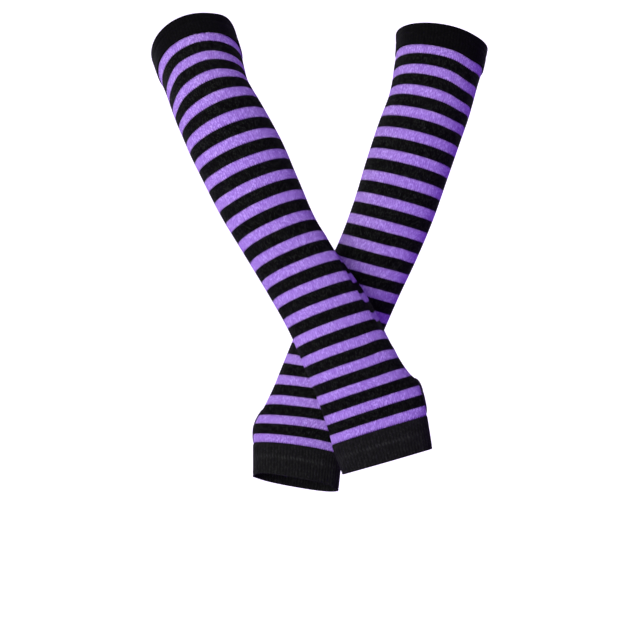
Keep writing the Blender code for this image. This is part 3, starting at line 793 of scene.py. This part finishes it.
def stripedSleeve(side, form, warmer, material):
    # The tube is a grid of rows along and columns round. Its seam column runs through the thumb hole:
    # there both edges of the seam move apart by b * sqrt(1 - (x/a)^2), an ellipse, and the columns
    # beside them follow by (1 - d/spread)^2, with d the distance from the seam
    a = thumbHole["length"] / 2 - thumbHole["shrink"]
    b = thumbHole["width"] / 2 - thumbHole["shrink"]
    tilt = math.radians(thumbHole["turn"])
    along = np.linspace(knit["topBand"] - sleeveShape["tuck"], sleeveEnd + sleeveShape["tuck"],
                        round((sleeveEnd - knit["topBand"]) / sleeveShape["rowStep"]))
    slitHalf = a * math.cos(tilt)
    rim = thumbHole["along"] + slitHalf * np.cos(np.linspace(math.pi, 0, thumbHole["rimRows"]))
    keep = np.abs(along - thumbHole["along"]) > slitHalf + thumbHole["rimClear"]
    along = np.sort(np.concatenate([along[keep], rim]))
    hair = 1e-9        # tells a row at the slit's end from one inside it
    slit = (along >= rim[0] - hair) & (along <= rim[-1] + hair)
    inSlit = (along > rim[0] + hair) & (along < rim[-1] - hair)
    girth = girthAt(form, along)
    x = (along - thumbHole["along"]) / math.cos(tilt)
    # the seam leans by the hole's turn, and comes back to straight above and below it
    lean = math.sin(tilt) * np.clip(x, -a, a)
    centre = warmer["thumbSide"] * (girthAt(form, thumbHole["along"]) * 0.25 - warmer["holeBehind"] - lean)
    middle = 0.5 - centre / girth
    half = np.where(inSlit, b / math.cos(tilt) * np.sqrt(np.clip(1 - (x / a) ** 2, 0, 1)), 0)
    columns = sleeveShape["columns"]
    d = np.arange(columns + 1)[None, :] / columns * girth[:, None]
    fromEnd = girth[:, None] - d
    near = np.minimum(d, fromEnd)
    push = half[:, None] * np.clip(1 - near / thumbHole["spread"], 0, 1) ** 2
    place = np.where(d <= fromEnd, d + push, d - push)
    fraction = middle[:, None] + place / girth[:, None]

    # the inner face has fewer rows, except beside the hole
    innerKeep = slit.copy()
    innerKeep[::thumbHole["innerEvery"]] = True
    innerKeep[[0, -1]] = True
    inner = np.flatnonzero(innerKeep)[::-1]
    loopRow = np.concatenate([np.arange(len(along)), inner])
    loopOut = np.concatenate([np.zeros(len(along)), np.full(len(inner), -sleeveShape["wall"])])
    points = onCloth(form, fraction[loopRow], along[loopRow][:, None], loopOut[:, None])
    ids = np.arange(points.shape[0] * points.shape[1]).reshape(points.shape[:2])
    shut = ~inSlit[loopRow]
    ids[shut, -1] = ids[shut, 0]
    uv = stitchUv(fraction[loopRow], along[loopRow][:, None], knit["wales"], knit["course"])
    idsClosed = np.concatenate([ids, ids[:1]], axis=0)
    uvClosed = np.concatenate([uv, uv[:1]], axis=0)
    quads, corners = gridQuads(idsClosed, uvClosed)
    # the rim of the hole joins the outer and inner edges of the seam
    outerRows = np.flatnonzero(slit)
    innerRows = np.array([len(along) + int(np.flatnonzero(inner == row)[0]) for row in outerRows])
    rims = []
    rimUv = []
    for edge, flip in ((0, 1), (-1, -1)):
        pair = np.stack([ids[outerRows, edge], ids[innerRows, edge]], axis=1)[:, ::flip]
        pairUv = np.stack([uv[outerRows, edge], uv[innerRows, edge]], axis=1)[:, ::flip]
        quad, corner = gridQuads(pair, pairUv)
        rims.append(quad)
        rimUv.append(corner)
    quads = np.concatenate([quads] + rims)
    corners = np.concatenate([corners] + rimUv)
    used, quads = np.unique(quads, return_inverse=True)
    piece = quadMesh(side + "StripedSleeve", points.reshape(-1, 3)[used], quads.reshape(-1, 4), corners,
                     material)
    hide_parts(side + "_sleeve_arm", side + "_sleeve_hand")
    return piece


bandShape = {"rise": 1.0, "wall": 1.5, "foldLine": 9.0, "foldGroove": 0.55, "grooveWidth": 1.0,
             "overlap": 0.3, "lowerRound": 0.7, "ribs": 84, "ribRise": 0.08, "ribReach": 4.0,
             "turnedRibs": 0.25, "edgeRibs": 0.1, "ribShade": 0.4, "columns": 504, "rowStep": 0.9,
             "lowerSteps": 6, "innerSteps": 12, "edgeSteps": 12}


def topBand(side, form, material):
    # The turned welt: a thick strip whose upper edge is a round fold, with a groove where the turned
    # part is sewn down, and faint ribs below it. The profile is one closed loop of (along, out)
    edge = (bandShape["rise"] + bandShape["wall"]) / 2
    low = bandShape["lowerRound"]
    end = knit["topBand"] + bandShape["overlap"]
    outer = np.arange(edge, end - low, bandShape["rowStep"])
    rise = (bandShape["rise"] - bandShape["foldGroove"]
            * np.exp(-((outer - bandShape["foldLine"]) / bandShape["grooveWidth"]) ** 2))
    turn = np.linspace(0, math.pi / 2, bandShape["lowerSteps"])
    lowerAlong = end - low + low * np.sin(turn)
    lowerOut = bandShape["rise"] - low * (1 - np.cos(turn))
    inner = np.linspace(end, edge, bandShape["innerSteps"])
    turn = np.linspace(-math.pi / 2, math.pi / 2, bandShape["edgeSteps"])[1:-1]
    foldAlong = edge - edge * np.cos(turn)
    foldOut = (bandShape["rise"] - bandShape["wall"]) / 2 + edge * np.sin(turn)
    loopAlong = np.concatenate([outer, lowerAlong, inner, foldAlong])
    loopOut = np.concatenate([rise, lowerOut, np.full(len(inner), -bandShape["wall"]), foldOut])
    # the ribs show fully below the sewn line, faintly on the turned part and its edge, and not inside
    below = (outer - bandShape["foldLine"]) / bandShape["ribReach"]
    ribs = np.concatenate([np.clip(below, bandShape["turnedRibs"], 1), np.ones(len(lowerAlong)),
                           np.zeros(len(inner)), np.full(len(foldAlong), bandShape["edgeRibs"])])

    def raised(fraction):
        wave = np.cos(2 * math.pi * bandShape["ribs"] * fraction)
        return ribs[:, None] * bandShape["ribRise"] * wave

    piece = closedWall(side + "TopBand", form, loopAlong, loopOut, bandShape["columns"], raised,
                       bandShape["ribs"], knit["course"], material)
    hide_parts(side + "_top_band")
    return piece


cuffShape = {"wall": 1.5, "rise": 0.35, "seamGap": 0.2, "seamRows": 0.4, "seamDip": 0.25, "seamDepth": 0.2,
             "hemLine": 2.2, "hemGroove": 0.25, "hemWidth": 0.5, "ribs": 72, "ribRise": 0.16,
             "ribPower": 0.7, "edgeRibs": (0.35, 0.25), "innerRibs": 0.8, "seamRibs": 0.6, "ribShade": 0.36,
             "tickRow": 400.0, "columns": 576, "rowStep": 0.8, "edgeSteps": 12, "innerSteps": 14}


def handCuff(side, form, material):
    # A ribbed strip: both faces follow the same rib wave, so the wall keeps its thickness. The finger
    # edge is a round fold with a fine sewn line above it
    edge = (cuffShape["rise"] + cuffShape["wall"]) / 2
    start = sleeveEnd + cuffShape["seamGap"]
    end = knit["length"]
    outer = np.arange(start + cuffShape["seamRows"], end - edge, cuffShape["rowStep"])
    fromHem = outer - (end - cuffShape["hemLine"])
    rise = cuffShape["rise"] - cuffShape["hemGroove"] * np.exp(-(fromHem / cuffShape["hemWidth"]) ** 2)
    rise[0] -= cuffShape["seamDip"]
    turn = np.linspace(0, math.pi, cuffShape["edgeSteps"])
    foldAlong = end - edge + edge * np.sin(turn)
    foldOut = (cuffShape["rise"] - cuffShape["wall"]) / 2 + edge * np.cos(turn)
    inner = np.linspace(end - edge, start, cuffShape["innerSteps"])[1:]
    loopAlong = np.concatenate([outer, foldAlong, inner, [start]])
    loopOut = np.concatenate([rise, foldOut, np.full(len(inner), -cuffShape["wall"]),
                              [-cuffShape["seamDepth"]]])
    least, more = cuffShape["edgeRibs"]
    ribs = np.concatenate([np.ones(len(outer)), least + more * np.cos(turn) ** 2,
                           np.full(len(inner), cuffShape["innerRibs"]), [cuffShape["seamRibs"]]])

    def raised(fraction):
        wave = np.cos(2 * math.pi * cuffShape["ribs"] * fraction)
        crest = np.sign(wave) * np.abs(wave) ** cuffShape["ribPower"]
        return ribs[:, None] * cuffShape["ribRise"] * crest

    piece = closedWall(side + "HandCuff", form, loopAlong, loopOut, cuffShape["columns"], raised,
                       cuffShape["ribs"], knit["course"], material)
    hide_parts(side + "_hand_cuff")
    return piece


bindingShape = {"shrink": 1.2, "roll": 1.1, "rollSpread": 1.2, "rollSides": 10, "rollMap": 80,
                "rimPoints": 160, "depth": -0.65, "threadShrink": 0.3, "threadReach": 2.3, "threadRise": 1.35,
                "thread": 0.27, "threadSpread": 1.8, "threadSides": 6, "threadMap": 900, "wraps": 84,
                "perWrap": 14}


def holeRim(form, warmer, shrink, turn):
    # The hole's ellipse on the cloth, drawn in by shrink: fractions round and distances along
    tilt = math.radians(thumbHole["turn"])
    behind = (thumbHole["width"] / 2 - shrink) * np.sin(turn)
    down = (thumbHole["length"] / 2 - shrink) * np.cos(turn)
    along = thumbHole["along"] + down * math.cos(tilt) - behind * math.sin(tilt)
    behind = warmer["holeBehind"] + behind * math.cos(tilt) + down * math.sin(tilt)
    return 0.5 - warmer["thumbSide"] * (0.25 - behind / girthAt(form, along)), along


def tubeAlong(name, path, first, second, radiusA, radiusB, sides, material, uvLength):
    # A closed tube round a closed path: path + cos(t) * radiusA * first + sin(t) * radiusB * second
    turn = np.arange(sides) / sides * 2 * math.pi
    points = (path[:, None] + np.cos(turn)[None, :, None] * first[:, None] * radiusA
              + np.sin(turn)[None, :, None] * second[:, None] * radiusB)
    ids = np.arange(len(path) * sides).reshape(len(path), sides)
    ids = np.concatenate([ids, ids[:, :1]], axis=1)
    ids = np.concatenate([ids, ids[:1]], axis=0)
    uv = np.stack(np.broadcast_arrays(np.arange(sides + 1)[None, :] / sides,
                                      np.arange(len(path) + 1)[:, None] * uvLength / len(path)), axis=-1)
    quads, corners = gridQuads(ids, uv)
    return quadMesh(name, points, quads, corners, material)


def unit(vectors):
    # Vectors of length 1 that point the same way
    return vectors / np.linalg.norm(vectors, axis=-1, keepdims=True)


def rimFrame(form, warmer, shrink, turn, depth):
    # The rim's path and, at each point, the way into the hole and the way out of the cloth
    fraction, along = holeRim(form, warmer, shrink, turn)
    path = onCloth(form, fraction, along, depth)
    normal = unit(onCloth(form, fraction, along, depth + 1.0) - path)
    inward = unit(np.cross(normal, np.roll(path, -1, axis=0) - np.roll(path, 1, axis=0)))
    towards = path.mean(axis=0) - path
    inward = inward * np.sign((inward * towards).sum(axis=-1, keepdims=True))
    return path, inward, normal


def thumbBinding(side, form, warmer, material):
    # Overlock: a flat roll of cloth edge, and one thread that winds round it and round the cloth
    # beside it in even, flattened turns
    turn = np.arange(bindingShape["rimPoints"]) / bindingShape["rimPoints"] * 2 * math.pi
    path, inward, normal = rimFrame(form, warmer, bindingShape["shrink"], turn, bindingShape["depth"])
    roll = tubeAlong(side + "ThumbRoll", path, inward, normal,
                     bindingShape["roll"] * bindingShape["rollSpread"], bindingShape["roll"],
                     bindingShape["rollSides"], material, bindingShape["rollMap"])
    count = bindingShape["wraps"] * bindingShape["perWrap"]
    turn = np.arange(count) / count * 2 * math.pi
    path, inward, normal = rimFrame(form, warmer, bindingShape["threadShrink"], turn, bindingShape["depth"])
    wind = (turn * bindingShape["wraps"])[:, None]
    winding = (path + inward * np.cos(wind) * bindingShape["threadReach"]
               + normal * np.sin(wind) * bindingShape["threadRise"])
    forward = unit(np.roll(winding, -1, axis=0) - np.roll(winding, 1, axis=0))
    outwards = unit(winding - path)
    sideways = unit(np.cross(forward, outwards))
    outwards = np.cross(sideways, forward)
    thread = tubeAlong(side + "ThumbThread", winding, outwards, sideways, bindingShape["thread"],
                       bindingShape["thread"] * bindingShape["threadSpread"], bindingShape["threadSides"],
                       material, bindingShape["threadMap"])
    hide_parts(side + "_thumb_binding")
    return roll, thread


makeStudio()
print("studio ready")
stitches = stitchGroup()
stripes = stripeGroup()
yarns = yarnGroup()
sleeveCloth = stripedKnit()
bandCloth = blackKnit("blackBand", colours["bandBlack"], bandShape["ribShade"])
cuffCloth = blackKnit("blackRib", colours["cuffBlack"], cuffShape["ribShade"], cuffShape["tickRow"])
overlock = threadMaterial()
print("materials ready")
for side, warmer in warmers.items():
    form = wornForm(warmer["sections"], warmer["slides"], clothPulls[side], clothFolds[side])
    stripedSleeve(side, form, warmer, sleeveCloth)
    topBand(side, form, bandCloth)
    handCuff(side, form, cuffCloth)
    thumbBinding(side, form, warmer, overlock)
    print(side, "warmer dressed")
